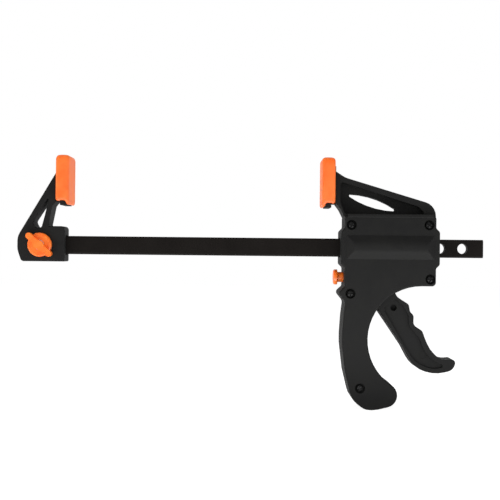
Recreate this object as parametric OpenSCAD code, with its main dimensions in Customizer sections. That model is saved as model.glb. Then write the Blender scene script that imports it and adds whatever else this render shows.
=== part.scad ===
// Quick release bar clamp. Lengths are in millimetres.
// Outlines are drawn in the plane of the clamp: X runs along the bar, away from the fixed jaw,
// Z runs up towards the pads, and Y runs away from the viewer, from the bar's middle.
// They are measured from the bar's axis, below the fixed pad's face. place() then moves
// each piece so that the origin is the middle of that face.

/* [Bar] */
// Height of the bar's section
bar_height = 7.4; // [6.4:0.1:9]
// Thickness of the bar
bar_thickness = 3.8; // [3:0.1:4.8]
// Chamfer along the bar's long edges
bar_chamfer = 0.6; // [0.3:0.1:1]
// Opening between the two pads, as drawn
opening = 101.6; // [60:0.1:150]
// Length of bar that shows behind the housing
tail_length = 18.6; // [17.2:0.1:40]
// Diameter of the two holes in the tail
tail_hole_d = 4.2; // [3:0.1:5]
// Distance between the two tail holes
tail_hole_pitch = 9.1; // [7:0.1:10]
// Distance of the outer tail hole from the bar's end
tail_hole_inset = 8.4; // [5:0.1:8.6]
// Gap between the bar and what slides on it
bar_fit = 0.25; // [0.2:0.01:0.4]

/* [Pads] */
// Width of a pad across the clamp
pad_width = 17; // [15:0.1:22]
// Height of a pad
pad_height = 20.3; // [16:0.1:26]
// Depth of a pad from its face to its back
pad_depth = 5.4; // [4.8:0.1:7]
// Height of the pads' lower edge above the bar
pad_rise = 12.4; // [11.5:0.1:16]
// Thickness of a pad's clamping wall
pad_wall = 1.3; // [1:0.1:1.6]
// Thickness of a pad's side walls
pad_side = 1.7; // [1.3:0.1:2.2]
// Thickness of a pad's lips behind the head plate
pad_lip = 1.5; // [1:0.1:1.8]
// Rounding of a pad's outer edges
pad_round = 1.3; // [0.8:0.1:1.6]
// Radius of the four corners of a pad's face
pad_corner = 2.6; // [1.6:0.1:3]
// Gap between a pad and its head plate
pad_fit = 0.1; // [0.05:0.01:0.15]

/* [Fixed jaw] */
// Width of the fixed jaw
jaw_width = 10; // [8.4:0.1:12]
// Length of the block that holds the bar
jaw_length = 19.15; // [17:0.1:26]
// Distance of the block's end behind the clamping face
jaw_setback = 2.05; // [1:0.1:3]
// Height of the block above the bar's axis
jaw_top = 7.6; // [6.8:0.1:9]
// Depth of the block below the bar's axis
jaw_bottom = 6.7; // [5.8:0.1:8]
// Thickness of the wall behind the bar's end
jaw_end_wall = 1.7; // [1.2:0.1:2.5]
// Width of the neck that joins each jaw to its head plate
neck_width = 5; // [4:0.1:6]

/* [Wing knob] */
// Diameter of the knob's disc
knob_d = 9.6; // [8:0.1:11]
// Thickness of the knob's disc
knob_disc = 1.8; // [1.2:0.1:2.4]
// Height of the wing above the disc
wing_rise = 1.9; // [1:0.1:3]
// Length of the wing
wing_length = 13; // [11:0.1:16]
// Width of the wing
wing_width = 2.4; // [1.9:0.1:3.2]
// Diameter of the threaded stud
stud_d = 4; // [3:0.1:4.4]
// Width of the nut across its flats
nut_width = 7; // [6.4:0.1:8.4]
// Thickness of the nut
nut_height = 3; // [2.4:0.1:3.6]
// Gap round a stud or pin that turns in its bore
pin_fit = 0.08; // [0.05:0.01:0.1]

/* [Housing] */
// Distance of the housing's nose behind the clamping face
body_setback = 7.85; // [7.2:0.1:10]
// Length of the housing along the bar
body_length = 39.7; // [38:0.1:47]
// Width of the body
body_width = 16; // [15:0.1:19]
// Height of the body above the bar's axis
body_rise = 12.9; // [12.4:0.1:15]
// Depth of the body below the bar's axis
body_drop = 15.2; // [14.6:0.1:18]
// Step of the nose and the tail past the body
nose_step = 1.5; // [1.1:0.1:2]
// Half the height of the nose and the tail
nose_half = 6.6; // [5.8:0.1:7]
// Wall of the moulded shells
wall = 2; // [1.6:0.1:2.3]
// Rounding of the body's and the handle's outer edges
edge_round = 1.1; // [0.6:0.1:1.3]
// Height of the raised boss over the bar
boss_rise = 2; // [1:0.1:2.5]
// Half the height of the boss at its foot
boss_foot = 4.8; // [4.4:0.1:5.6]
// Half the height of the boss at its top
boss_top = 1.7; // [1.3:0.1:2.2]
// Height of the boss's middle above the bar's axis
boss_offset = 0.25; // [0:0.05:0.5]
// Length of the slopes at the boss's ends
boss_slope = 2.9; // [2.2:0.1:3.6]
// Distance of the boss's ends inside the body's
boss_inset = 0.7; // [0.4:0.1:1.2]
// Width of the bead along the body's upper edge
bead_width = 1.5; // [1.1:0.1:1.9]
// Rise of the bead above the body's side
bead_rise = 0.4; // [0.2:0.1:0.6]

/* [Jaw arm] */
// Width of the moving jaw's arm at its rim
arm_width = 12; // [10:0.1:13]
// Thickness of the arm's web
arm_web = 4; // [3:0.1:5]
// Width of the arm's rim
arm_rim = 2.2; // [1.6:0.1:2.8]
// Height of the arm's back corner above the bar's axis
arm_shoulder = 17.4; // [16.5:0.1:20]
// Height of the arm's upper edge behind the pad, above the bar's axis
arm_peak = 28.3; // [26:0.1:30]
// Width of the arm's window at its two blunt ends
lens_tip = 0.9; // [0.6:0.1:1.3]
// Bulge of the window's two long sides
lens_bulge = 1.4; // [1:0.1:1.8]

/* [Handle] */
// Radius of the handle's inner curve
grip_radius = 21.7; // [20:0.1:26]
// Distance of that curve's centre behind the trigger's pivot
grip_offset = 16.1; // [15.6:0.1:17]
// Angle of that curve below the level of its centre
grip_angle = 57; // [54:1:60]
// Height of the handle's heel below the end of that curve
heel_height = 10.1; // [9.8:0.1:11.4]
// Radius of the handle's round toe
toe_radius = 4.9; // [4.2:0.1:5.1]
// Rise of the handle's underside towards the toe, in degrees
toe_slope = 14; // [8:1:20]
// Distance of the handle's back behind the clamping face
handle_setback = 8.5; // [8:0.1:9.4]

/* [Trigger] */
// Width of the trigger
trigger_width = 10; // [8.5:0.1:10.5]
// Reach of the trigger along the bar
trigger_reach = 30.6; // [28:0.1:34]
// Drop of the trigger below its pivot
trigger_drop = 36.7; // [34:0.1:42]
// Diameter of the trigger's pin
trigger_pin_d = 3.2; // [2.6:0.1:3.6]
// Radius of the trigger's hub
hub_radius = 4.2; // [3.6:0.1:4.6]
// Depth of the pockets in the trigger's sides
trigger_pocket = 0.9; // [0.5:0.1:1.4]
// Gap between the trigger and the shells
trigger_gap = 0.4; // [0.3:0.05:0.5]

/* [Drive] */
// Distance of the trigger's pivot behind the housing's nose
pivot_inset = 16.6; // [16.2:0.1:17.6]
// Reach of the trigger's nose past its pivot
nose_reach = 2.4; // [2:0.1:2.8]
// Width of the trigger's nose
nose_width = 3.5; // [2.6:0.1:3.8]
// Thickness of a steel plate
plate_thickness = 2; // [1.6:0.1:2.2]
// Width of a steel plate
plate_width = 9; // [7.5:0.1:10]
// Gap between a steel plate and the bar
plate_fit = 0.2; // [0.15:0.01:0.3]
// Gap between neighbouring moving pieces
play = 0.3; // [0.25:0.01:0.35]
// Wire of the drive spring
drive_wire = 1.1; // [0.8:0.1:1.2]
// Inner diameter of the springs, round the bar's corners
spring_bore = 8.7; // [8.6:0.1:9.4]
// Advance of the drive spring in one curl
drive_pitch = 2.1; // [1.8:0.1:3]
// Wire of the brake spring
brake_wire = 0.8; // [0.6:0.1:0.9]
// Number of the brake spring's curls
brake_curls = 2; // [1:1:2]
// Room for the brake spring behind the brake plate's upper end
brake_room = 3.8; // [3.6:0.1:4.2]
// Tilt of the brake plate when it grips
brake_tilt = 7; // [5:0.5:7.5]

/* [Release button] */
// Diameter of the button's cap
button_d = 6.2; // [5.2:0.1:6.4]
// Thickness of the button's cap
button_cap = 1.65; // [1.2:0.1:2]
// Diameter of the button's stem
stem_d = 4.1; // [3:0.1:4.4]
// Thickness of the collar that keeps the button in
button_collar = 0.8; // [0.6:0.1:1.2]
// Travel of the button
button_travel = 2.3; // [1.8:0.1:2.4]
// Depth of the button's axis below the bar's axis
button_drop = 11.95; // [11.6:0.1:12.6]

/* [Screws] */
// Diameter of a housing screw's head
screw_head_d = 3; // [2.6:0.1:3.4]
// Diameter of a housing screw's shank
screw_d = 2.2; // [1.8:0.1:2.4]
// Diameter of the counterbore round a head
counterbore_d = 4.1; // [3.7:0.1:4.4]
// Depth of the counterbore
counterbore_depth = 1.5; // [1.2:0.1:1.8]
// Diameter of the posts that take the screws
post_d = 5.8; // [5.2:0.1:6.2]

/* [Hidden] */

// Overrun of a cut past the face that it opens
over = 1;
// Greatest turn between two points of an arc, in degrees
arc_step = 15;
// Share of a side that one corner's rounding may take
corner_share = 0.49;
// Sides of a full circle on small round pieces
round_sides = 48;
// Rings in a curl of a spring, and sides of its wire
curl_rings = 8;
wire_sides = 6;

// Places that follow from the sizes
pad_low = bar_height / 2 + pad_rise;
pad_centre = pad_low + pad_height / 2;
plate_back = pad_depth - pad_lip;
jaw_end = jaw_setback + jaw_length;
stud_x = -(jaw_setback + jaw_length * 0.515);
bar_start = -(jaw_end - jaw_end_wall);
body_end = body_setback + body_length;
bar_end = opening + body_end + tail_length;
body_left = body_setback + nose_step;
body_right = body_end - nose_step;
arm_back = pad_depth + play;
pivot_x = body_setback + pivot_inset;
pivot_z = -body_drop * 0.888;
grip_x = pivot_x + grip_offset;
grip_z = -(body_drop + grip_radius);
grip_end = [grip_x - grip_radius * cos(grip_angle), grip_z - grip_radius * sin(grip_angle)];
toe = grip_end - toe_radius * [cos(grip_angle), sin(grip_angle)];
handle_drop = heel_height - grip_end.y;
handle_span = grip_x - handle_setback;
inner_half = body_width / 2 - wall;
post_radius = post_d / 2;

// Stations of the mechanism behind the clamping face
cavity_left = body_left + wall;
rear_wall_x = body_right - wall;
front_plate_x = pivot_x + nose_reach + play;
rear_plate_x = front_plate_x + plate_thickness + play;
stem_end = cavity_left + play + button_collar;
brake_z = body_rise - wall - play * 3;
brake_x = stem_end + play + plate_thickness / 2 + (brake_z + button_drop + stem_d / 2) * tan(brake_tilt);
partition_x = brake_x + brake_room;

function unit(v) = v / norm(v);
function turned(v, angle) = [v.x * cos(angle) - v.y * sin(angle), v.x * sin(angle) + v.y * cos(angle)];

// Arc that rounds the corner p between its neighbours a and b
function corner(a, p, b, radius) =
    let (
        u = unit(a - p),
        v = unit(b - p),
        half = acos(u * v) / 2,
        reach = min(radius / tan(half), norm(a - p) * corner_share, norm(b - p) * corner_share),
        fitted = reach * tan(half),
        centre = p + unit(u + v) * fitted / sin(half),
        start = p + u * reach - centre,
        sweep = (180 - 2 * half) * (cross(u, v) > 0 ? -1 : 1),
        steps = max(1, ceil(abs(sweep) / arc_step))
    )
    [for (i = [0:steps]) centre + turned(start, sweep * i / steps)];

// Outline through corners [x, z, radius], where a radius of zero leaves the corner sharp
function rounded(corners) =
    let (count = len(corners), flat = [for (c = corners) [c.x, c.y]])
    [for (i = [0:count - 1])
        each (corners[i][2] > 0
            ? corner(flat[(i + count - 1) % count], flat[i], flat[(i + 1) % count], corners[i][2])
            : [flat[i]])];

// Corners given in shares of a width and a height, from a start point
function spread(shares, start, width, height) =
    [for (s = shares) [start.x + s.x * width, start.y + s.y * height, s[2] * abs(height)]];

// Points of an arc that is part of an outline
function arc(centre, radius, from, to, step = arc_step / 2) =
    let (steps = ceil(abs(to - from) / step))
    [for (i = [0:steps]) let (a = from + (to - from) * i / steps) centre + radius * [cos(a), sin(a)]];

// Corners of a side that bulges to the left of its way and is rounded at its two ends
function bow(from, to, sag, end_radius) =
    let (
        half_chord = norm(to - from) / 2,
        radius = (half_chord * half_chord + sag * sag) / (2 * sag),
        half = asin(half_chord / radius),
        way = unit(to - from),
        centre = (from + to) / 2 + [-way.y, way.x] * (sag - radius),
        middle = atan2(way.x, -way.y),
        points = arc(centre, radius, middle + half, middle - half),
        last = len(points) - 1
    )
    [for (i = [0:last]) [points[i].x, points[i].y, i == 0 || i == last ? end_radius : 0]];

// The outline drawn in by a distance, with as many points
function inset(outline, distance) =
    let (count = len(outline))
    [for (i = [0:count - 1])
        let (
            before = unit(outline[i] - outline[(i + count - 1) % count]),
            after = unit(outline[(i + 1) % count] - outline[i]),
            normal = [-before.y, before.x],
            middle = unit(normal + [-after.y, after.x])
        )
        outline[i] + middle * distance / (middle * normal)];

// Moves a piece from the bar's axis to the part's own frame
module place() {
    translate([0, 0, -pad_centre])
        children();
}

// Stands an outline up in the clamp's plane, its depth growing towards the viewer
module upright() {
    rotate([90, 0, 0])
        children();
}

// A plate of the outline, centred on the clamp's plane
module slab(width) {
    upright()
        translate([0, 0, -width / 2])
            linear_extrude(width)
                children();
}

// A round piece across the clamp, from one depth to another, towards the viewer
module cross_pin(at, radius, from, to) {
    upright()
        translate([at.x, at.y, from])
            cylinder(r = radius, h = to - from, $fn = round_sides);
}

// One unbroken tube of wire, wound round the bar's direction from x = 0
function coil_points(radius, wire, span, curls) =
    let (rings = curls * curl_rings)
    [for (i = [0:rings])
        let (a = 360 * i / curl_rings, x = wire / 2 + (span - wire) * i / rings)
        for (k = [0:wire_sides - 1])
            let (b = 360 * k / wire_sides, r = radius + wire / 2 * cos(b))
            [x + wire / 2 * sin(b), r * cos(a), r * sin(a)]];

module coil(radius, wire, span, curls) {
    rings = curls * curl_rings;
    side = wire_sides;
    faces = [
        [for (k = [0:side - 1]) side - 1 - k],
        [for (k = [0:side - 1]) rings * side + k],
        for (i = [0:rings - 1])
            for (k = [0:side - 1])
                let (a = i * side + k, b = i * side + (k + 1) % side)
                each [[a, b, b + side], [a, b + side, a + side]]
    ];
    polyhedron(coil_points(radius, wire, span, curls), faces, convexity = 10);
}

// Section of the bar, with its long edges chamfered, in the plane across it
module bar_section(gap = 0) {
    half_t = bar_thickness / 2 + gap;
    half_h = bar_height / 2 + gap;
    cut = bar_chamfer;
    polygon([
        [-half_t + cut, -half_h], [half_t - cut, -half_h], [half_t, -half_h + cut], [half_t, half_h - cut],
        [half_t - cut, half_h], [-half_t + cut, half_h], [-half_t, half_h - cut], [-half_t, -half_h + cut]
    ]);
}

// A hole through the bar
module bar_hole(x, radius) {
    cross_pin([x, 0], radius, -bar_thickness, bar_thickness);
}

module bar() {
    color([0.11, 0.1, 0.09])
        place()
            difference() {
                translate([bar_start, 0, 0])
                    rotate([90, 0, 90])
                        linear_extrude(bar_end - bar_start)
                            bar_section();
                for (i = [0, 1])
                    bar_hole(bar_end - tail_hole_inset - i * tail_hole_pitch, tail_hole_d / 2);
                bar_hole(stud_x, stud_d / 2 + bar_fit);
            }
}

// Head plate that a pad slides over, and the neck behind it, for a jaw on the left
module head_plate() {
    thick = plate_back - pad_wall - 2 * pad_fit;
    wide = pad_width - 2 * pad_side - 2 * pad_fit;
    top = pad_low + pad_height - pad_side - pad_fit;
    translate([-plate_back + pad_fit, -wide / 2, pad_low])
        cube([thick, wide, top - pad_low]);
    translate([-arm_back - play, -neck_width / 2, pad_low + pad_lip])
        cube([arm_back + play - plate_back + thick / 2, neck_width, top - pad_low - 2 * pad_lip]);
}

// Corners of the fixed jaw's side, in shares of its length and of the pads' middle height
jaw_back_shares = [[-1.001, 0.126, 0.24], [-1.001, -0.075, 0.24]];
jaw_window_shares = [
    [-0.403, 0.747, 0.008], [-0.712, 0.355, 0.05], [-0.655, 0.265, 0.05],
    [-0.545, 0.262, 0.04], [-0.48, 0.46, 0.3]
];

module fixed_jaw() {
    color([0.13, 0.12, 0.11])
        place()
            difference() {
                union() {
                    slab(jaw_width)
                        polygon(rounded(concat(
                            [[-arm_back, pad_low + pad_height * 0.66, 0]],
                            spread(jaw_back_shares, [0, 0], jaw_end, pad_centre),
                            [
                                [-jaw_end * 0.925, -jaw_bottom, pad_lip],
                                [-jaw_setback, -jaw_bottom, pad_lip / 3],
                                [-jaw_setback, jaw_top, pad_lip],
                                [-arm_back - jaw_setback * 1.5, jaw_top, pad_lip / 3],
                                [-arm_back - jaw_setback * 0.7, pad_low - play, 0],
                                [-arm_back, pad_low + pad_lip, 0]
                            ]
                        )));
                    head_plate();
                }
                slab(jaw_width + over)
                    polygon(rounded(spread(jaw_window_shares, [0, 0], jaw_end, pad_centre)));
                translate([bar_start - bar_fit, 0, 0])
                    rotate([90, 0, 90])
                        linear_extrude(jaw_end)
                            bar_section(bar_fit);
                cross_pin([stud_x, 0], stud_d / 2 + pin_fit, -jaw_width, jaw_width);
                upright()
                    translate([stud_x, 0, -jaw_width / 2 - over])
                        cylinder(r = nut_radius + pin_fit, h = nut_height / 2 + over, $fn = 6);
            }
}

// A pad, open at its back and its lower end, whose face looks along +X from x = 0
module pad() {
    plate_top = pad_height - pad_side;
    lip_edge = neck_width / 2 + play;
    edge_gap = pad_depth - plate_back;
    difference() {
        intersection() {
            slab(pad_width)
                polygon(rounded([
                    [0, 0, pad_round], [0, pad_height, pad_round], [-pad_depth, pad_height, pad_round],
                    [-pad_depth, edge_gap, pad_round / 2], [-plate_back, edge_gap, 0], [-plate_back, 0, 0],
                    [-pad_wall, 0, 0]
                ]));
            linear_extrude(pad_height)
                polygon(rounded([
                    [0, -pad_width / 2, pad_round], [0, pad_width / 2, pad_round],
                    [-pad_depth, pad_width / 2, pad_round / 2], [-pad_depth, -pad_width / 2, pad_round / 2]
                ]));
            translate([-pad_depth, 0, 0])
                rotate([90, 0, 90])
                    linear_extrude(pad_depth)
                        polygon(rounded([
                            [-pad_width / 2, 0, pad_corner], [pad_width / 2, 0, pad_corner],
                            [pad_width / 2, pad_height, pad_corner], [-pad_width / 2, pad_height, pad_corner]
                        ]));
        }
        translate([-plate_back, pad_side - pad_width / 2, -over])
            cube([plate_back - pad_wall, pad_width - 2 * pad_side, plate_top + over]);
        translate([-pad_depth - over, -lip_edge, -over])
            cube([pad_depth + over - pad_wall * 2, 2 * lip_edge, plate_top + over]);
        translate([-plate_back, -pad_width, -over])
            cube([plate_back - pad_wall, 2 * pad_width, over + edge_gap * 1.2]);
    }
}

module fixed_pad() {
    color([0.98, 0.47, 0.19])
        place()
            translate([0, 0, pad_low])
                pad();
}

module moving_pad() {
    color([0.98, 0.47, 0.19])
        place()
            translate([opening, 0, pad_low])
                mirror([1, 0, 0])
                    pad();
}

// Wing knob on the near side of the fixed jaw, moulded round its stud's head
wing_angle = -42;
nut_radius = nut_width / 2 / cos(30);
knob_seat = jaw_width / 2 + play;
knob_top = knob_seat + knob_disc + wing_rise;
stud_head = 0.5;

module knob() {
    color([0.98, 0.47, 0.19])
        place()
            difference() {
                union() {
                    upright()
                        translate([stud_x, 0, knob_seat])
                            rotate_extrude($fn = round_sides)
                                polygon([
                                    [0, 0], [knob_d / 2, 0], [knob_d / 2, knob_disc * 0.7],
                                    [knob_d / 2 - knob_disc * 0.3, knob_disc], [0, knob_disc]
                                ]);
                    upright()
                        translate([stud_x, 0, knob_seat + knob_disc / 3])
                            rotate([0, 0, wing_angle])
                                linear_extrude(knob_top - knob_seat - knob_disc / 3)
                                    polygon(rounded(wing_outline()));
                }
                cross_pin([stud_x, 0], stud_d / 2, -over, knob_top - wing_rise);
            }
}

// The wing's plan: two narrow ends and a wider middle
function wing_outline() =
    let (end = wing_length / 2, half = wing_width / 2, waist = wing_width * 0.8)
    [
        [-end, -half, half], [-waist, -half, half], [0, -waist, waist], [waist, -half, half],
        [end, -half, half], [end, half, half],
        [waist, half, half], [0, waist, waist], [-waist, half, half], [-end, half, half]
    ];

module knob_stud() {
    end = -jaw_width / 2 - nut_height / 2 - stud_head;
    color([0.6, 0.6, 0.62])
        place()
            cross_pin([stud_x, 0], stud_d / 2, end, knob_top - wing_rise);
}

module jaw_nut() {
    color([0.6, 0.6, 0.62])
        place()
            difference() {
                upright()
                    translate([stud_x, 0, -jaw_width / 2 - nut_height / 2])
                        cylinder(r = nut_radius, h = nut_height, $fn = 6);
                cross_pin([stud_x, 0], stud_d / 2 + pin_fit, -jaw_width, jaw_width);
            }
}

// Places of the five screws: beside the bar, under it and in the handle
screw_places = [
    [body_left + post_radius * 0.9, body_rise - post_radius * 1.28],
    [body_right - post_radius, body_rise - post_radius * 1.22],
    [body_right - post_radius * 0.79, -body_drop + post_radius * 0.97],
    [body_left + post_radius * 0.82, -body_drop * 1.21],
    [handle_setback + handle_span * 0.231, -handle_drop * 0.865]
];

// The thumb rest under the button, in shares of the step and of the body's depth
thumb_shares = [[0, -1.03, 0.06], [-1.8, -1.193, 0.1], [0.25, -1.44, 0.15]];
// The handle's back, in shares of the handle's span and of its depth
back_shares = [[0, -0.48, 0.9], [0, -0.682, 0.7], [0.125, -0.935, 0.125], [0.296, -1, 0.11]];

// Outline of the body and the handle, from the upper left corner down round the handle
function body_outline() =
    let (
        step = nose_step,
        to_nose = nose_half + step,
        arc_top = acos(min(0, body_right - edge_round * 3 - grip_x) / grip_radius),
        top_arc = arc([grip_x, grip_z], grip_radius, 180 + grip_angle, arc_top),
        toe_arc = arc(toe, toe_radius, toe_slope - 90, grip_angle - arc_step, arc_step),
        thumb = spread(thumb_shares, [body_left, 0], step, body_drop),
        back = spread(back_shares, [handle_setback, 0], handle_span, handle_drop)
    )
    rounded(concat(
        [
            [body_left, body_rise, edge_round], [body_left, to_nose, step * 0.7],
            [body_setback, nose_half, step * 0.8], [body_setback, -nose_half, step * 0.8],
            [body_left, -to_nose, step * 0.7]
        ],
        thumb,
        back,
        [[toe.x - toe_radius * 0.8, -handle_drop, heel_height]],
        [for (p = concat(toe_arc, top_arc)) [p.x, p.y, 0]],
        [
            [body_right, -body_drop, edge_round * 1.4], [body_right, -to_nose, step * 0.7],
            [body_end, -nose_half, step * 0.8], [body_end, nose_half, step * 0.8],
            [body_right, to_nose, step * 0.7], [body_right, body_rise, edge_round]
        ]
    ));

// Outline of the moving jaw's arm, which runs down into the body
function arm_outline() = rounded([
    [arm_back, arm_peak * 1.085, 0], [arm_back, pad_low + pad_lip * 1.3, 0],
    [body_left * 0.82, body_rise * 1.2, body_rise / 4], [body_left, body_rise * 0.94, 0],
    [body_left, nose_half * 1.3, 0], [body_right, nose_half * 1.3, 0],
    [body_right, arm_shoulder, (arm_shoulder - body_rise) * 1.7],
    [body_left, arm_peak, arm_peak * 0.3]
]);

// The sunk field inside the arm's rim
function arm_field() =
    let (
        drop = (arm_peak - arm_shoulder) / (body_right - body_left),
        left = arm_back + arm_rim * 0.8,
        right = body_right - arm_rim * 1.7,
        bend = right - arm_rim * 1.5,
        low = body_rise + arm_rim * 0.3
    )
    rounded([
        [left, arm_peak - arm_rim * 0.7, arm_rim / 2], [left, pad_low + arm_rim, arm_rim],
        [body_left, low, arm_rim / 2], [right, low, arm_rim / 3],
        [bend, arm_shoulder - arm_rim * 1.2 + drop * (body_right - bend), arm_rim * 1.5]
    ]);

// Ends of the leaf-shaped window in the arm's web, in shares of the body's length and the arm's height
lens_shares = [[0.09, 0.548], [0.56, 0.163]];

module arm_lens() {
    height = arm_peak - body_rise;
    ends = [for (s = lens_shares) [body_setback + s.x * body_length, body_rise + s.y * height]];
    way = unit(ends[1] - ends[0]);
    aside = [-way.y, way.x] * lens_tip / 2;
    polygon(rounded(concat(
        bow(ends[0] + aside, ends[1] + aside, lens_bulge, lens_tip),
        bow(ends[1] - aside, ends[0] - aside, lens_bulge, lens_tip)
    )));
}

// The hollow of the body, which holds the drive, and that of the handle
module hollow() {
    top = body_rise - wall;
    low = -(body_drop - wall);
    polygon(rounded([
        [cavity_left, top, edge_round], [cavity_left, -body_drop * 1.07, 0],
        [handle_setback + wall, -handle_drop * 0.5, grip_radius],
        [handle_setback + wall, -handle_drop * 0.68, grip_radius],
        [handle_setback + wall + heel_height * 0.35, -handle_drop * 0.81, edge_round],
        [grip_x - (grip_radius + wall) * 0.83, grip_z - (grip_radius + wall) * 0.56, edge_round],
        for (p = arc([grip_x, grip_z], grip_radius + wall, 208, 102)) [p.x, p.y, 0],
        [rear_wall_x, low, edge_round], [rear_wall_x, top, edge_round]
    ]));
}

// The slot in the shells' lower edge that the trigger swings in
module trigger_mouth() {
    polygon(concat(
        arc([grip_x, grip_z], grip_radius + wall + over, 166, 100),
        arc([grip_x, grip_z], grip_radius - over, 100, 166)
    ));
}

// Half of the housing, with its outside towards the viewer
module shell(near) {
    depth = body_width / 2;
    pin_eye = trigger_pin_d / 2 + wall * 0.7;
    slot = trigger_width / 2 + trigger_gap;
    difference() {
        union() {
            difference() {
                union() {
                    linear_extrude(depth)
                        polygon(body_outline());
                    difference() {
                        linear_extrude(arm_width / 2)
                            polygon(arm_outline());
                        translate([0, 0, arm_web / 2])
                            linear_extrude(arm_width)
                                polygon(arm_field());
                        translate([0, 0, -over])
                            linear_extrude(arm_width)
                                arm_lens();
                    }
                    boss();
                    bead();
                }
                translate([0, 0, -over])
                    linear_extrude(inner_half + over)
                        hollow();
                boss_hollow();
            }
            shell_posts(near);
            linear_extrude(inner_half + over)
                partition_outline();
            cylinder_at([pivot_x, pivot_z], pin_eye, slot, inner_half + over);
        }
        translate([0, 0, -over])
            linear_extrude(slot + over)
                trigger_mouth();
        bar_way();
        brake_seat();
        button_way();
        cylinder_at([pivot_x, pivot_z], trigger_pin_d / 2 + pin_fit / 2, -over, depth - wall / 2);
        for (p = screw_places)
            screw_cut(p, near);
    }
    head_half();
}

// A round solid or cut whose depth grows towards the viewer
module cylinder_at(at, radius, from, to) {
    translate([at.x, at.y, from])
        cylinder(r = radius, h = to - from, $fn = round_sides);
}

// The posts that take the screws
module shell_posts(near) {
    for (p = screw_places)
        intersection() {
            cylinder_at(p, post_radius, 0, inner_half + over);
            linear_extrude(body_width)
                polygon(inset(body_outline(), edge_round / 2));
        }
}

// A screw's counterbore and clearance hole in the near shell, or its pilot hole in the far one
module screw_cut(at, near) {
    depth = body_width / 2;
    gap = near ? bar_fit : pin_fit;
    cylinder_at(at, screw_d / 2 + gap, -over, near ? depth + over : inner_half + wall / 2);
    if (near)
        cylinder_at(at, counterbore_d / 2, depth - counterbore_depth, depth + over);
}

// Wall between the brake and the drive, which ends above the trigger's hub
module partition_outline() {
    low = pivot_z + hub_radius + play * 3;
    translate([partition_x, low])
        square([wall * 0.75, body_rise - wall / 2 - low]);
}

// The raised boss over the bar, rounded above and below and sloped at its ends
module boss() {
    side = body_width / 2;
    top = side + boss_rise;
    sunk = side - edge_round;
    half = boss_foot + edge_round * (boss_foot - boss_top) / boss_rise;
    run = edge_round * boss_slope / boss_rise;
    left = body_left + boss_inset;
    right = body_right - boss_inset;
    intersection() {
        translate([0, boss_offset, 0])
            rotate([90, 0, 90])
                linear_extrude(body_end)
                    polygon(rounded([
                        [-half, 0, 0], [half, 0, 0], [half, sunk, 0], [boss_top, top, boss_rise * 2],
                        [-boss_top, top, boss_rise * 2], [-half, sunk, 0]
                    ]));
        translate([0, boss_foot * 2, 0])
            rotate([90, 0, 0])
                linear_extrude(boss_foot * 4)
                    polygon([
                        [left - run, 0], [right + run, 0], [right + run, sunk],
                        [right - boss_slope, top], [left + boss_slope, top], [left - run, sunk]
                    ]);
    }
}

// The hollow under the boss, which keeps its wall even
module boss_hollow() {
    end = boss_rise + boss_inset;
    translate([cavity_left + end, boss_offset - boss_top, -over])
        cube([rear_wall_x - cavity_left - 2 * end, 2 * boss_top, inner_half + boss_rise + over]);
}

// The bead along the body's upper edge, under the arm's sunk field
module bead() {
    top = body_width / 2 + bead_rise;
    translate([body_left + edge_round, body_rise, 0])
        rotate([90, 0, 90])
            linear_extrude(body_right - body_left - 2 * edge_round)
                polygon(rounded([
                    [-bead_width / 2, 0, 0], [bead_width / 2, 0, 0],
                    [bead_width / 2, top, bead_rise], [-bead_width / 2, top, bead_rise]
                ]));
}

// The way for the bar through the nose, the partition and the tail
module bar_way() {
    rotate([90, 0, 90])
        linear_extrude(body_end + over)
            rotate([0, 0, 90])
                bar_section(bar_fit);
}

// The seat that holds the brake plate's upper end
module brake_seat() {
    half = plate_width / 2 + play;
    cylinder_at([brake_x, brake_z], plate_thickness, -over, half);
}

// The way for the button's stem and its collar
module button_way() {
    translate([0, -button_drop, 0])
        rotate([0, 90, 0])
            cylinder(r = stem_d / 2 + play, h = cavity_left + over, $fn = round_sides);
}

// Each shell's half of the head plate
module head_half() {
    intersection() {
        rotate([-90, 0, 0])
            mirror([1, 0, 0])
                head_plate();
        translate([-over, 0, 0])
            linear_extrude(pad_width)
                square([body_right, pad_low + pad_height]);
    }
}

module housing_near() {
    color([0.15, 0.15, 0.15])
        place()
            translate([opening, 0, 0])
                upright()
                    shell(true);
}

module housing_far() {
    color([0.15, 0.15, 0.15])
        place()
            translate([opening, 0, 0])
                mirror([0, 1, 0])
                    upright()
                        shell(false);
}

// One screw: a countersunk disc head with a cross recess, and a plain shank
module housing_screw(at) {
    seat = body_width / 2 - counterbore_depth;
    head = counterbore_depth * 0.75;
    recess = screw_head_d * 0.16;
    upright()
        translate([at.x, at.y, 0])
            difference() {
                union() {
                    translate([0, 0, seat])
                        cylinder(r = screw_head_d / 2, h = head, $fn = round_sides);
                    translate([0, 0, -inner_half])
                        cylinder(r = screw_d / 2, h = inner_half + seat, $fn = round_sides);
                }
                for (angle = [0, 90])
                    rotate([0, 0, angle])
                        translate([-screw_head_d * 0.33, -recess / 2, seat + head / 2])
                            cube([screw_head_d * 0.66, recess, head]);
            }
}

module housing_screws() {
    color([0.08, 0.08, 0.08])
        place()
            translate([opening, 0, 0])
                for (p = screw_places)
                    housing_screw(p);
}

// The trigger's side below its neck, in shares of its reach and its drop from the pivot
trigger_shares = [
    [-0.03, -0.325, 0.02], [0.285, -0.71, 0.25], [0.44, -0.95, 0.3], [0.72, -1.02, 0.4],
    [0.965, -0.97, 0.2], [1, -0.845, 0.04], [0.8, -0.865, 0.2], [0.645, -0.745, 0.35],
    [0.575, -0.605, 0.08], [0.547, -0.54, 0.06], [0.428, -0.475, 0.06], [0.432, -0.37, 0.05],
    [0.383, -0.33, 0.05], [0.366, -0.25, 0.04], [0.205, -0.165, 0.1]
];
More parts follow.
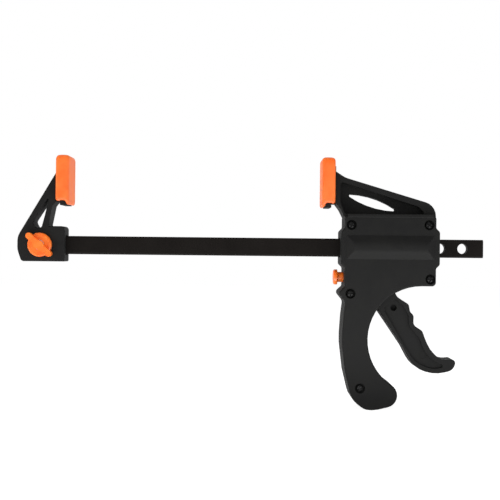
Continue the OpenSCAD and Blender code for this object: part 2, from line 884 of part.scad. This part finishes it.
// The sunk field in the trigger's side
trigger_field_shares = [
    [0.05, -0.33, 0.02], [0.33, -0.73, 0.2], [0.465, -0.895, 0.25], [0.70, -0.965, 0.3], [0.88, -0.925, 0.02],
    [0.72, -0.885, 0.2], [0.58, -0.78, 0.25], [0.51, -0.62, 0.1], [0.375, -0.49, 0.06], [0.365, -0.37, 0.05],
    [0.285, -0.26, 0.04], [0.19, -0.19, 0.01], [0.105, -0.225, 0.15], [0.045, -0.285, 0.01]
];

module trigger() {
    pivot = [pivot_x, pivot_z];
    nose_top = -bar_height / 2 - play * 3;
    nose_right = front_plate_x - play;
    field = spread(trigger_field_shares, pivot, trigger_reach, trigger_drop);
    color([0.15, 0.15, 0.15])
        place()
            translate([opening, 0, 0])
                difference() {
                    union() {
                        slab(trigger_width)
                            polygon(rounded(concat(
                                spread(trigger_shares, pivot, trigger_reach, trigger_drop),
                                [[pivot.x + hub_radius * 0.9, pivot.y + hub_radius * 0.1, hub_radius / 4],
                                [pivot.x - hub_radius * 0.9, pivot.y - hub_radius * 0.2, hub_radius / 2]]
                            )));
                        cross_pin(pivot, hub_radius, -trigger_width / 2, trigger_width / 2);
                        slab(plate_width - play)
                            polygon([
                                [nose_right - nose_width, pivot.y], [nose_right, pivot.y],
                                [nose_right, nose_top], [nose_right - nose_width, nose_top]
                            ]);
                    }
                    cross_pin(pivot, trigger_pin_d / 2 + pin_fit, -trigger_width, trigger_width);
                    for (depth = [-trigger_width / 2 - over, trigger_width / 2 - trigger_pocket])
                        upright()
                            translate([0, 0, depth])
                                linear_extrude(over + trigger_pocket)
                                    polygon(rounded(field));
                }
}

module trigger_pin() {
    reach = body_width / 2 - wall * 0.6;
    color([0.6, 0.6, 0.62])
        place()
            translate([opening, 0, 0])
                cross_pin([pivot_x, pivot_z], trigger_pin_d / 2, -reach, reach);
}

// A steel plate across the bar, with its front face at x = 0
module steel_plate(top, low) {
    translate([0, 0, low])
        linear_extrude(top - low)
            polygon([
                [0, -plate_width / 2], [plate_thickness, -plate_width / 2],
                [plate_thickness, plate_width / 2], [0, plate_width / 2]
            ]);
}

module drive_plate(x) {
    top = bar_height / 2 + wall * 2;
    low = pivot_z + hub_radius + play;
    hole_w = bar_thickness + 2 * plate_fit;
    color([0.6, 0.6, 0.62])
        place()
            translate([opening + x, 0, 0])
                difference() {
                    steel_plate(top, low);
                    translate([-over, 0, 0])
                        rotate([90, 0, 90])
                            linear_extrude(plate_thickness + 2 * over)
                                square([hole_w, bar_height + 2 * plate_fit], center = true);
                }
}

module drive_plate_front() {
    drive_plate(front_plate_x);
}

module drive_plate_rear() {
    drive_plate(rear_plate_x);
}

module drive_spring() {
    start = rear_plate_x + plate_thickness + play / 3;
    span = rear_wall_x - play / 3 - start;
    curls = floor((span - drive_wire) / drive_pitch);
    color([0.6, 0.6, 0.62])
        place()
            translate([opening + start, 0, 0])
                coil((spring_bore + drive_wire) / 2, drive_wire, span, curls);
}

module brake_plate() {
    low = -(button_drop + button_d * 0.35) - brake_z;
    hole_z = -brake_z / cos(brake_tilt);
    hole_h = (bar_height + plate_thickness * sin(brake_tilt)) / cos(brake_tilt) + 2 * plate_fit;
    color([0.6, 0.6, 0.62])
        place()
            translate([opening + brake_x, 0, brake_z])
                rotate([0, brake_tilt, 0])
                    difference() {
                        union() {
                            translate([-plate_thickness / 2, 0, 0])
                                steel_plate(0, low);
                            upright()
                                translate([0, 0, -plate_width / 2])
                                    cylinder(r = plate_thickness / 2, h = plate_width, $fn = round_sides);
                        }
                        translate([-plate_thickness, 0, hole_z])
                            rotate([90, 0, 90])
                                linear_extrude(2 * plate_thickness)
                                    square([bar_thickness + 2 * plate_fit, hole_h], center = true);
                    }
}

module brake_spring() {
    start = brake_x - (brake_z - spring_bore / 2 - brake_wire) * tan(brake_tilt) + plate_thickness / 2 + play;
    color([0.6, 0.6, 0.62])
        place()
            translate([opening + start, 0, 0])
                coil((spring_bore + brake_wire) / 2, brake_wire, partition_x - play / 3 - start, brake_curls);
}

module release_button() {
    cap_x = body_left - button_travel - button_cap - play / 3;
    collar = stem_d / 2 + play * 3;
    rim = button_d / 2;
    edge = button_cap / 4;
    color([0.97, 0.45, 0.18])
        place()
            translate([opening, 0, -button_drop])
                rotate([0, 90, 0])
                    rotate_extrude($fn = round_sides)
                        polygon([
                            [0, cap_x], [rim - edge, cap_x], [rim, cap_x + edge],
                            [rim, cap_x + button_cap], [stem_d / 2, cap_x + button_cap],
                            [stem_d / 2, cavity_left + play], [collar, cavity_left + play],
                            [collar, stem_end], [0, stem_end]
                        ]);
}

bar();
fixed_jaw();
fixed_pad();
knob();
knob_stud();
jaw_nut();
housing_near();
housing_far();
moving_pad();
housing_screws();
trigger();
trigger_pin();
drive_plate_front();
drive_plate_rear();
drive_spring();
brake_plate();
brake_spring();
release_button();
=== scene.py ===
import math

import bmesh
import bpy
from mathutils import Matrix, Vector


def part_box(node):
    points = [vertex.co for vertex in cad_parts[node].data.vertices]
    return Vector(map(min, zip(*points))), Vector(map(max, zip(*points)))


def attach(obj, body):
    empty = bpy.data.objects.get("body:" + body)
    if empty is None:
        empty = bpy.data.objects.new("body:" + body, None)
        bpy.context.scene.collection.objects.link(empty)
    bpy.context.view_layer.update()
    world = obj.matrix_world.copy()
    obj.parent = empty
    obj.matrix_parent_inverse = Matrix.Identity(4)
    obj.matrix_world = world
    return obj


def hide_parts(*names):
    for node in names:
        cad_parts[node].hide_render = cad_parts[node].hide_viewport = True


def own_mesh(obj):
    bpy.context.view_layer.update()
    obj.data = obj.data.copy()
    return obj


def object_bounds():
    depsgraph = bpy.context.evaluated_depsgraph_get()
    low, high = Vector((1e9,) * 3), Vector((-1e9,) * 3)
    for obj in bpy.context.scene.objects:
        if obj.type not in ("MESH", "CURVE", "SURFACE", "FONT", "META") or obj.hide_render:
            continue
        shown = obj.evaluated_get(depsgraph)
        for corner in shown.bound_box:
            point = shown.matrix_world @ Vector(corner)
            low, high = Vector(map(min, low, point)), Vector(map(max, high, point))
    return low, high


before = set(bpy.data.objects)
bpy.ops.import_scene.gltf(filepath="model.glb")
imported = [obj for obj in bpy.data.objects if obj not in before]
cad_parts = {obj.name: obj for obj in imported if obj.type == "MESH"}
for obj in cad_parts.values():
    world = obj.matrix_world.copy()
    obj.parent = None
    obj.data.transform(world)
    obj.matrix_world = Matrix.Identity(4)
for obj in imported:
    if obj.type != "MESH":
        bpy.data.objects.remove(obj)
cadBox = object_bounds()
print("frame loaded")

mm = 0.001  # Blender works in metres, and the sizes below are millimetres unless they say otherwise
scene = bpy.context.scene
scene.view_settings.view_transform = "Standard"


# small helpers

meshLook = {
    "double": 0.002, "weld": 0.001,  # corners that lie closer are one, in a CAD copy and after a cut
    "flat": 0.6,  # faces that turn by fewer degrees become one
    "depthSlack": 0.03,  # how far from its stated depth an edge may lie
    "corner": 28,  # edges that turn by more degrees are rounded, unless a piece says otherwise
    "smooth": 32,  # and what still turns by more degrees than this looks sharp
    "rodSides": 48,
}


def toLinear(hexColour):
    # sRGB hex to the linear values that the shaders take
    parts = [int(hexColour[i:i + 2], 16) / 255 for i in (1, 3, 5)]
    return [p / 12.92 if p <= 0.04045 else ((p + 0.055) / 1.055) ** 2.4 for p in parts] + [1.0]


def addNode(tree, kind, links=None, values=None, **settings):
    # one node with its settings, its sockets' values and what feeds them
    node = tree.nodes.new(kind)
    for name, value in settings.items():
        setattr(node, name, value)
    for socket, value in (values or {}).items():
        node.inputs[socket].default_value = value
    for socket, source in (links or {}).items():
        tree.links.new(source, node.inputs[socket])
    return node


def emptyTree(owner):
    # the node tree of a material or a world, with nothing in it yet
    owner.use_nodes = True
    owner.node_tree.nodes.clear()
    return owner.node_tree


def placeObject(name, data):
    thing = bpy.data.objects.new(name, data)
    scene.collection.objects.link(thing)
    return thing


def placeMesh(name, bm):
    # an object of what a bmesh holds
    mesh = bpy.data.meshes.new(name)
    bm.to_mesh(mesh)
    bm.free()
    return placeObject(name, mesh)


def takeShape(stock):
    # what the modifiers of a passing object make of it, after which it goes
    graph = bpy.context.evaluated_depsgraph_get()
    shaped = bpy.data.meshes.new_from_object(stock.evaluated_get(graph))
    bm = bmesh.new()
    bm.from_mesh(shaped)
    bpy.data.meshes.remove(shaped)
    bpy.data.meshes.remove(stock.data)
    return bm


def joinFlats(bm):
    angle = math.radians(meshLook["flat"])
    bmesh.ops.dissolve_limit(bm, angle_limit=angle, verts=bm.verts, edges=bm.edges)


def nodeCopy(name):
    # a copy of a CAD node's mesh with its doubles merged and its flat faces joined
    bm = bmesh.new()
    bm.from_mesh(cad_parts[name].data)
    bmesh.ops.remove_doubles(bm, verts=bm.verts, dist=meshLook["double"] * mm)
    bmesh.ops.dissolve_degenerate(bm, edges=bm.edges, dist=meshLook["weld"] * mm)
    joinFlats(bm)
    return bm


def atDepth(edge, depth):
    # whether both its ends lie that far from the clamp's middle plane
    slack = meshLook["depthSlack"] * mm
    return all(abs(abs(v.co.y) - depth * mm) < slack for v in edge.verts)


def roundEdges(bm, width, segments, chosen=None, corner=meshLook["corner"], clamp=True):
    # bevels the chosen outer edges that turn by more than that many degrees
    edges = [
        e for e in bm.edges
        if len(e.link_faces) == 2 and e.calc_face_angle(0) > math.radians(corner)
        and e.is_convex and (chosen is None or chosen(e))
    ]
    if edges:
        bmesh.ops.bevel(
            bm, geom=edges, offset=width * mm, offset_type="OFFSET", affect="EDGES",
            segments=segments, profile=0.5, material=-1, clamp_overlap=clamp, loop_slide=clamp,
        )


def addRod(cutters, x, z, radius, mouth, end):
    # a round cutter for the near side, from the depth of its mouth to that of its end; as much again
    # stands out in front of the mouth
    middle = Matrix.Translation((x, -mouth * mm, z)) @ Matrix.Rotation(math.radians(90), 4, "X")
    bmesh.ops.create_cone(
        cutters, cap_ends=True, segments=meshLook["rodSides"], radius1=radius * mm,
        radius2=radius * mm, depth=2 * (mouth - end) * mm, matrix=middle,
    )


def cutAway(bm, cutters):
    # what is left of a mesh when the cutters are taken out of it
    stock = placeMesh("stock", bm)
    tool = placeMesh("cutters", cutters)
    boolean = stock.modifiers.new("cut", "BOOLEAN")
    boolean.operation = "DIFFERENCE"
    boolean.solver = "EXACT"
    boolean.object = tool
    result = takeShape(stock)
    bpy.data.meshes.remove(tool.data)
    bmesh.ops.remove_doubles(result, verts=result.verts, dist=meshLook["weld"] * mm)
    return result


def soften(bm, grid, passes, pull):
    # redraws a mesh on a fine even grid and smooths it, which rounds every edge
    stock = placeMesh("stock", bm)
    remesh = stock.modifiers.new("even grid", "REMESH")
    remesh.mode = "VOXEL"
    remesh.voxel_size = grid * mm
    smoothing = stock.modifiers.new("smoothing", "SMOOTH")
    smoothing.factor = pull
    smoothing.iterations = passes
    return takeShape(stock)


def finishPiece(name, bm, body, material, node, smooth=meshLook["smooth"]):
    # makes the object, sets its shading, puts it on its body and hides the CAD node it stands for
    piece = placeMesh(name, bm)
    mesh = piece.data
    if "custom_normal" in mesh.attributes:
        mesh.attributes.remove(mesh.attributes["custom_normal"])  # the loose triangles' own normals
    mesh.shade_smooth()
    mesh.set_sharp_from_angle(angle=math.radians(smooth))
    mesh.materials.append(material)
    weighted = piece.modifiers.new("weighted normals", "WEIGHTED_NORMAL")
    weighted.keep_sharp = True
    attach(piece, body)
    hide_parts(node)
    return piece


# materials: the colour of each drifts with a cloud, and a grain or lines raise it a little; both are given
# as their size, their detail and their scale along X, Y and Z, where less than 1 draws them out into lines

even = (1, 1, 1)
noiseMiddle = (0.3, 0.7)  # most of a noise lies between these
noiseRoughness = 0.6


def makeMaterial(name, look):
    material = bpy.data.materials.new(name)
    tree = emptyTree(material)
    place = addNode(tree, "ShaderNodeTexCoord").outputs["Object"]
    noises = {}
    for pattern in ("cloud", "grain"):
        size, detail, scale = look[pattern]
        mapping = addNode(tree, "ShaderNodeMapping", {"Vector": place}, {"Scale": scale})
        noises[pattern] = addNode(
            tree, "ShaderNodeTexNoise", {"Vector": mapping.outputs["Vector"]},
            {"Scale": 1 / (size * mm), "Detail": detail, "Roughness": noiseRoughness},
        ).outputs["Fac"]
    ramp = addNode(tree, "ShaderNodeValToRGB", {"Fac": noises["cloud"]})
    for element, position, colour in zip(ramp.color_ramp.elements, noiseMiddle, look["colours"]):
        element.position = position
        element.color = toLinear(colour)
    low, high = noiseMiddle
    smoothest, roughest = look["roughness"]
    sheen = addNode(
        tree, "ShaderNodeMapRange", {"Value": noises[look["sheenFrom"]]},
        {"From Min": low, "From Max": high, "To Min": smoothest, "To Max": roughest},
    )
    bump = addNode(
        tree, "ShaderNodeBump", {"Height": noises["grain"]},
        {"Strength": 1.0, "Distance": look["depth"] * mm},
    )
    sources = {
        "Base Color": ramp.outputs["Color"], "Roughness": sheen.outputs["Result"],
        "Normal": bump.outputs["Normal"],
    }
    surface = addNode(tree, "ShaderNodeBsdfPrincipled", sources, look["shader"])
    addNode(tree, "ShaderNodeOutputMaterial", {"Surface": surface.outputs["BSDF"]})
    return material


# glass-filled nylon from a spark-eroded mould: a dull black with a fine grain
nylonLook = {
    "colours": ("#121212", "#191918"),
    "cloud": (7.0, 2.0, even),  # the glass lies unevenly, in patches of several millimetres
    "grain": (0.45, 3.0, even), "depth": 0.012,  # the grain is 0.1 mm, drawn coarser so that it shows
    "roughness": (0.66, 0.74), "sheenFrom": "cloud",
    "shader": {"IOR": 1.53, "Specular IOR Level": 0.1},
}

# plasticised PVC from a smooth mould: satin, and light passes a little way into it
pvcLook = {
    "colours": ("#f56b22", "#fb7a31"),
    "cloud": (5.0, 2.0, even),  # the dye mixes a little unevenly over the pad's own size
    "grain": (0.5, 3.0, even), "depth": 0.008,  # the slight waviness of a soft skin
    "roughness": (0.45, 0.6), "sheenFrom": "cloud",
    "shader": {
        "IOR": 1.53, "Specular IOR Level": 0.3, "Subsurface Weight": 0.2,
        "Subsurface Radius": (1.0, 0.35, 0.1), "Subsurface Scale": 1.5 * mm,
    },
}

# ABS from a polished mould: a little glossier than the pads
absLook = {
    "colours": ("#f56a18", "#fb7e26"),
    "cloud": (4.0, 2.0, even),  # the dye again, in the knob's smaller forms
    "grain": (0.9, 3.0, even), "depth": 0.004,  # the waviness where the plastic shrank as it cooled
    "roughness": (0.32, 0.42), "sheenFrom": "cloud",
    "shader": {
        "IOR": 1.54, "Specular IOR Level": 0.3, "Subsurface Weight": 0.15,
        "Subsurface Radius": (1.0, 0.35, 0.1), "Subsurface Scale": 1.0 * mm,
    },
}

# steel blackened in a hot oxide bath: near black, oiled and satin, with the marks of its making under it,
# which are 0.05 mm wide and drawn coarser so that they show
oxideLook = {
    "cloud": (9.0, 3.0, even),  # the oil dries in patches of about a centimetre
    "depth": 0.006, "sheenFrom": "grain",
}
barSteelLook = {
    **oxideLook, "colours": ("#110e0c", "#161311"),
    "grain": (0.35, 4.0, (0.03, 1, 1)),  # the lines of its drawing, along the bar
    "roughness": (0.5, 0.6), "shader": {"Specular IOR Level": 0.05},
}
screwSteelLook = {
    **oxideLook, "colours": ("#141414", "#1a1a1a"), "grain": (0.35, 4.0, even),
    "roughness": (0.4, 0.5), "shader": {"Specular IOR Level": 0.15},
}

# bare or zinc-plated steel: a bright metal with fine marks of its making, which are 0.05 mm wide and drawn
# coarser so that they show
brightLook = {
    "cloud": (3.0, 3.0, even),  # the plating and the scale vary over a few millimetres
    "depth": 0.003, "sheenFrom": "grain",
    "shader": {"Metallic": 1.0},
}
zincLook = {
    **brightLook, "colours": ("#a9abad", "#c6c7c6"),
    "grain": (0.3, 4.0, (1, 0.2, 1)), "roughness": (0.28, 0.4),
}
plateLook = {
    **brightLook, "colours": ("#7d7c79", "#96948f"),
    "grain": (0.3, 4.0, (0.3, 1, 1)), "roughness": (0.34, 0.5),
}
wireLook = {
    **brightLook, "colours": ("#8c8a86", "#a5a29c"),
    "grain": (0.3, 4.0, even), "roughness": (0.22, 0.34),
}

nylon = makeMaterial("glass-filled nylon, spark-eroded grain", nylonLook)
pvc = makeMaterial("plasticised PVC, moulded", pvcLook)
hardAbs = makeMaterial("ABS, moulded", absLook)
barSteel = makeMaterial("black-oxide steel, drawn flat bar", barSteelLook)
screwSteel = makeMaterial("black-oxide steel, headed screw", screwSteelLook)
zinc = makeMaterial("zinc-plated steel, turned", zincLook)
blanked = makeMaterial("hardened steel, blanked plate", plateLook)
wire = makeMaterial("music wire, coiled", wireLook)
print("materials made")


# from here on a rounding is given as its width and its number of steps

# the bar, drawn flat steel with broken edges

barLook = {"edge": (0.16, 2)}


def makeBar():
    bm = nodeCopy("bar")
    roundEdges(bm, *barLook["edge"])
    finishPiece("flatBar", bm, "frame", barSteel, "bar")


# the fixed jaw

jawLook = {"side": 5.0, "edge": (0.48, 3), "corner": 50}  # the tightest corner allows no wider rounding


def makeFixedJaw():
    look = jawLook
    bm = nodeCopy("fixed_jaw")
    roundEdges(bm, *look["edge"], lambda e: atDepth(e, look["side"]), look["corner"], clamp=False)
    finishPiece("fixedJaw", bm, "frame", nylon, "fixed_jaw")


# the pads, soft caps whose every edge is rounded

padLook = {
    "grid": 0.3, "passes": 40, "pull": 0.5,  # how often the skin is smoothed, and how strongly each time
    "smooth": 60,
}


def makePads():
    look = padLook
    for name, node, body in (
        ("fixedPad", "fixed_pad", "frame"),
        ("slidingPad", "moving_pad", "carriage"),
    ):
        bm = soften(nodeCopy(node), look["grid"], look["passes"], look["pull"])
        finishPiece(name, bm, body, pvc, node, look["smooth"])


# the wing knob, and the nut on the far end of its stud

knobLook = {"edge": (0.4, 3), "nutEdge": (0.3, 2)}


def makeKnob():
    bm = nodeCopy("knob")
    roundEdges(bm, *knobLook["edge"])
    finishPiece("wingKnob", bm, "knob", hardAbs, "knob")
    bm = nodeCopy("jaw_nut")
    roundEdges(bm, *knobLook["nutEdge"])
    finishPiece("hexNut", bm, "frame", zinc, "jaw_nut")


# the housing's two shells

shellLook = {
    "side": 8.0, "arm": 6.0, "web": 2.0, "bossFrom": 8.6,  # depths of the outer faces from the seam
    "screwBore": 4.1, "screwSink": 1.5,  # width and depth of the screws' counterbores
    "slack": 0.05, "overcut": 0.01,  # how far past the counterbores their faces are sought and cut
    "outline": (0.9, 4), "rimOuter": (0.55, 3), "rimInner": (0.9, 2), "lens": (0.35, 2),
    "boss": (0.6, 3), "seam": (0.15, 1),
    "corner": 50, "bossCorner": 24, "seamCorner": 60,
    "through": 1.0,  # walls that end nearer the seam than this are the outside ones
}


def screwPlaces():
    # X and Z of each screw's axis, from the screws' own solids
    bm = nodeCopy("housing_screws")
    left = set(bm.verts)
    places = []
    while left:
        found = [left.pop()]
        for vert in found:
            linked = {e.other_vert(vert) for e in vert.link_edges} & left
            left -= linked
            found += linked
        xs = [v.co.x for v in found]
        zs = [v.co.z for v in found]
        places.append(((min(xs) + max(xs)) / 2, (min(zs) + max(zs)) / 2))
    bm.free()
    return sorted(places)


def inBore(face, places):
    # whether a face lies in one of the counterbores
    look = shellLook
    reach = (look["screwBore"] / 2 + look["slack"]) * mm
    deep = (look["side"] - look["screwSink"] - look["slack"]) * mm
    return any(
        all(math.hypot(v.co.x - x, v.co.z - z) < reach and abs(v.co.y) > deep for v in face.verts)
        for x, z in places
    )


def closeBores(bm, places):
    # fills the counterbores, so that the edge beside them can be rounded first
    bmesh.ops.delete(bm, geom=[f for f in bm.faces if inBore(f, places)], context="FACES")
    bmesh.ops.holes_fill(bm, edges=[e for e in bm.edges if e.is_boundary], sides=0)
    joinFlats(bm)


def openBores(bm, places):
    look = shellLook
    cutters = bmesh.new()
    end = look["side"] - look["screwSink"] - look["overcut"]
    for x, z in places:
        addRod(cutters, x, z, look["screwBore"] / 2, look["side"], end)
    return cutAway(bm, cutters)


def outsideWall(edge):
    # whether the walls beside an edge of the arm reach down to the seam
    ends = min(abs(v.co.y) for f in edge.link_faces for v in f.verts)
    return ends / mm < shellLook["through"]


def onBoss(edge):
    return all(abs(v.co.y) > shellLook["bossFrom"] * mm for v in edge.verts)


def makeShells():
    look = shellLook
    corner = look["corner"]
    places = screwPlaces()
    for name, node in (("nearShell", "housing_near"), ("farShell", "housing_far")):
        bm = nodeCopy(node)
        if node == "housing_near":
            closeBores(bm, places)
        roundEdges(bm, *look["outline"], lambda e: atDepth(e, look["side"]), corner)
        roundEdges(bm, *look["rimOuter"], lambda e: atDepth(e, look["arm"]) and outsideWall(e), corner)
        roundEdges(bm, *look["rimInner"], lambda e: atDepth(e, look["arm"]) and not outsideWall(e), corner)
        roundEdges(bm, *look["lens"], lambda e: atDepth(e, look["web"]), corner)
        roundEdges(bm, *look["boss"], onBoss, look["bossCorner"])
        roundEdges(bm, *look["seam"], lambda e: atDepth(e, 0), look["seamCorner"])
        if node == "housing_near":
            bm = openBores(bm, places)
        finishPiece(name, bm, "carriage", nylon, node)


# the trigger

triggerLook = {
    "side": 5.0, "field": 4.1,  # depths of the rim and of the sunk field inside it
    "edge": (0.7, 3), "corner": 50,
    "marks": (  # from the pin along X and Z, radius and depth
        (5.15, -10.6, 1.3, 2.0),  # a blind hole by the pin
        (17.06, -29.49, 1.65, 0.15),  # what the mould's ejector leaves in the field
    ),
}


def makeTrigger():
    look = triggerLook
    bm = nodeCopy("trigger")
    roundEdges(bm, *look["edge"], lambda e: atDepth(e, look["side"]), look["corner"])
    low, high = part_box("trigger_pin")
    pinX = (low[0] + high[0]) / 2
    pinZ = (low[2] + high[2]) / 2
    cutters = bmesh.new()
    for x, z, radius, depth in look["marks"]:
        addRod(cutters, pinX + x * mm, pinZ + z * mm, radius, look["field"], look["field"] - depth)
    bm = cutAway(bm, cutters)
    finishPiece("triggerLever", bm, "trigger", nylon, "trigger")


# the release button

buttonLook = {"edge": (0.3, 3)}


def makeButton():
    bm = nodeCopy("release_button")
    roundEdges(bm, *buttonLook["edge"])
    finishPiece("releaseButton", bm, "button", hardAbs, "release_button")


# the housing's screws, whose heads sit in the counterbores

screwLook = {
    "shank": 1.1, "end": 6.0, "seat": -6.5,  # radius, and where along Y it ends and the head begins
    "head": 1.45, "rim": 0.4, "crown": 0.85,  # radius of the head, and heights of its rim and dome
    "crownSteps": 6, "sides": 40,
    "slot": (2.1, 0.6), "slotDeep": 0.95,  # length and width of each arm of the cross
    "turns": (0, 20, 65, 35, 10),  # how far each one was driven, in degrees
}


def lathe(profile, steps):
    # turns a profile of radii and places along Y into a closed solid
    bm = bmesh.new()
    verts = [bm.verts.new((radius * mm, y * mm, 0)) for radius, y in profile]
    edges = [bm.edges.new(pair) for pair in zip(verts, verts[1:])]
    bmesh.ops.spin(
        bm, geom=verts + edges, cent=(0, 0, 0), axis=(0, 1, 0), angle=2 * math.pi,
        steps=steps, use_merge=True,
    )
    bmesh.ops.remove_doubles(bm, verts=bm.verts, dist=meshLook["weld"] * mm)
    bmesh.ops.recalc_face_normals(bm, faces=bm.faces)
    return bm


def makeOneScrew():
    look = screwLook
    shank, head = look["shank"], look["head"]
    rimTop = look["seat"] - look["rim"]
    profile = [(0, look["end"]), (shank, look["end"]), (shank, look["seat"]), (head, look["seat"])]
    for step in range(look["crownSteps"] + 1):
        angle = math.radians(90) * step / look["crownSteps"]
        profile.append((head * math.cos(angle), rimTop - look["crown"] * math.sin(angle)))
    bm = lathe(profile, look["sides"])
    middle = Matrix.Translation((0, (rimTop - look["crown"]) * mm, 0))
    for long, wide in (look["slot"], look["slot"][::-1]):
        cutters = bmesh.new()
        size = Matrix.Diagonal((long * mm, 2 * look["slotDeep"] * mm, wide * mm, 1))
        bmesh.ops.create_cube(cutters, size=1, matrix=middle @ size)
        bm = cutAway(bm, cutters)
    return bm


def makeScrews():
    one = placeMesh("screw", makeOneScrew()).data
    bm = bmesh.new()
    for (x, z), turn in zip(screwPlaces(), screwLook["turns"]):
        start = len(bm.verts)
        bm.from_mesh(one)
        bm.verts.ensure_lookup_table()
        move = Matrix.Translation((x, 0, z)) @ Matrix.Rotation(math.radians(turn), 4, "Y")
        bmesh.ops.transform(bm, matrix=move, verts=bm.verts[start:])
    bpy.data.meshes.remove(one)
    finishPiece("shellScrews", bm, "carriage", screwSteel, "housing_screws")


# the two springs round the bar, copied as they stand; they do not shorten here as their plates move

springLook = {
    "driveTravel": 3.1, "brakeTravel": 0.56,  # how far each one's front end goes at its joint's limit
    "smooth": 70,  # the wire's facets look round
}


def makeSprings():
    look = springLook
    for name, node, joint, travel in (
        ("driveSpring", "drive_spring", "drive_stroke", look["driveTravel"]),
        ("brakeSpring", "brake_spring", "brake_release", look["brakeTravel"]),
    ):
        bm = nodeCopy(node)
        piece = finishPiece(name, bm, "carriage", wire, node, look["smooth"])
        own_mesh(piece)


makeBar()
makeFixedJaw()
makePads()
makeKnob()
makeShells()
makeTrigger()
makeButton()
makeScrews()
makeSprings()

# the CAD nodes that stay as they are
keptNodes = {
    "knob_stud": zinc, "trigger_pin": zinc,
    "drive_plate_front": blanked, "drive_plate_rear": blanked, "brake_plate": blanked,
}
for nodeName, material in keptNodes.items():
    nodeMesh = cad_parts[nodeName].data
    nodeMesh.materials.clear()
    nodeMesh.materials.append(material)
print("pieces made")


# floor, lamps and camera

stageLook = {
    "floor": 3.0,  # side in metres
    "paper": "#e8e8e8", "paperLift": 0.9,  # what the lit sweep sends up at the clamp
    "paperSeen": "#b4b4b4", "paperGlow": 0.93,  # the camera's floor: white, with a soft shadow left on it
    "fill": 0.12, "backdrop": 1.0,  # light from all round, and the white that is seen behind the clamp
}
lampLook = {  # place and width in metres, power in watts
    "front box": ((0.1, -1.1, 0.2), 0.6, 1.2),
    "top box": ((0.07, -0.1, 0.7), 0.5, 2.3),
    "right box": ((0.9, -0.45, 0.05), 0.5, 2.8),
    "left box": ((-0.7, -0.45, 0.05), 0.5, 3.8),
}
stripLook = {"size": (0.34, 0.05), "place": (0.09, -0.064), "rise": 0.001, "power": 0.5}  # likewise
cameraLook = {
    "middle": (72.87, -27.55),  # X and Z of what the picture's centre looks at
    "distance": 415.0, "lens": 73.1, "sensor": 36.0,
    "roll": 0.566,  # in degrees
}
white = toLinear("#ffffff")


def seenRays(tree):
    # 1 for the rays that show the backdrop itself, and 0 for those that light the clamp
    rays = addNode(tree, "ShaderNodeLightPath").outputs
    seen = rays["Is Camera Ray"]
    for other in (rays["Is Glossy Ray"], rays["Is Transmission Ray"]):
        seen = addNode(tree, "ShaderNodeMath", {0: seen, 1: other}, operation="MAXIMUM").outputs[0]
    return seen


def makeFloor():
    look = stageLook
    bm = bmesh.new()
    bmesh.ops.create_grid(bm, x_segments=2, y_segments=2, size=look["floor"] / 2)
    bmesh.ops.translate(bm, verts=bm.verts, vec=(cameraLook["middle"][0] * mm, 0, cadBox[0].z))
    floor = placeMesh("floor", bm)
    material = bpy.data.materials.new("white paper sweep")
    tree = emptyTree(material)
    sides = []
    for paper, strength in ((look["paper"], look["paperLift"]), (look["paperSeen"], look["paperGlow"])):
        matt = addNode(tree, "ShaderNodeBsdfDiffuse", values={"Color": toLinear(paper)})
        glow = addNode(tree, "ShaderNodeEmission", values={"Color": white, "Strength": strength})
        both = addNode(tree, "ShaderNodeAddShader", {0: matt.outputs[0], 1: glow.outputs[0]})
        sides.append(both.outputs[0])
    chosen = addNode(tree, "ShaderNodeMixShader", {0: seenRays(tree), 1: sides[0], 2: sides[1]})
    addNode(tree, "ShaderNodeOutputMaterial", {"Surface": chosen.outputs[0]})
    floor.data.materials.append(material)


def makeWorld():
    scene.world = bpy.data.worlds.new("studio")
    tree = emptyTree(scene.world)
    sides = []
    for key in ("fill", "backdrop"):
        glow = addNode(tree, "ShaderNodeBackground", values={"Color": white, "Strength": stageLook[key]})
        sides.append(glow.outputs[0])
    chosen = addNode(tree, "ShaderNodeMixShader", {0: seenRays(tree), 1: sides[0], 2: sides[1]})
    addNode(tree, "ShaderNodeOutputWorld", {"Surface": chosen.outputs[0]})


def makeLamps():
    # round soft boxes, turned towards the clamp's middle
    x, z = cameraLook["middle"]
    middle = Vector((x * mm, 0, z * mm))
    for name, (place, width, power) in lampLook.items():
        data = bpy.data.lights.new(name, "AREA")
        data.shape = "DISK"
        data.size = width
        data.energy = power
        lamp = placeObject(name, data)
        lamp.visible_glossy = False
        lamp.visible_camera = False
        lamp.location = place
        lamp.rotation_euler = (Vector(place) - middle).to_track_quat("Z", "Y").to_euler()


def makeStrip():
    # a strip on the sweep in front of the clamp, which only shiny faces that look down mirror
    data = bpy.data.lights.new("low strip", "AREA")
    data.shape = "RECTANGLE"
    data.size, data.size_y = stripLook["size"]
    data.energy = stripLook["power"]
    lamp = placeObject("low strip", data)
    lamp.visible_diffuse = False
    lamp.visible_camera = False
    lamp.location = (*stripLook["place"], cadBox[0].z + stripLook["rise"])
    lamp.rotation_euler = (math.radians(180), 0, 0)


def makeCamera():
    look = cameraLook
    data = bpy.data.cameras.new("camera")
    data.sensor_width = look["sensor"]
    data.lens = look["lens"]
    camera = placeObject("camera", data)
    x, z = look["middle"]
    place = Matrix.Translation((x * mm, -look["distance"] * mm, z * mm))
    roll = Matrix.Rotation(-math.radians(look["roll"]), 4, "Y")
    upright = Matrix.Rotation(math.radians(90), 4, "X")
    camera.matrix_world = place @ roll @ upright
    scene.camera = camera


makeFloor()
makeWorld()
makeLamps()
makeStrip()
makeCamera()
print("stage made")
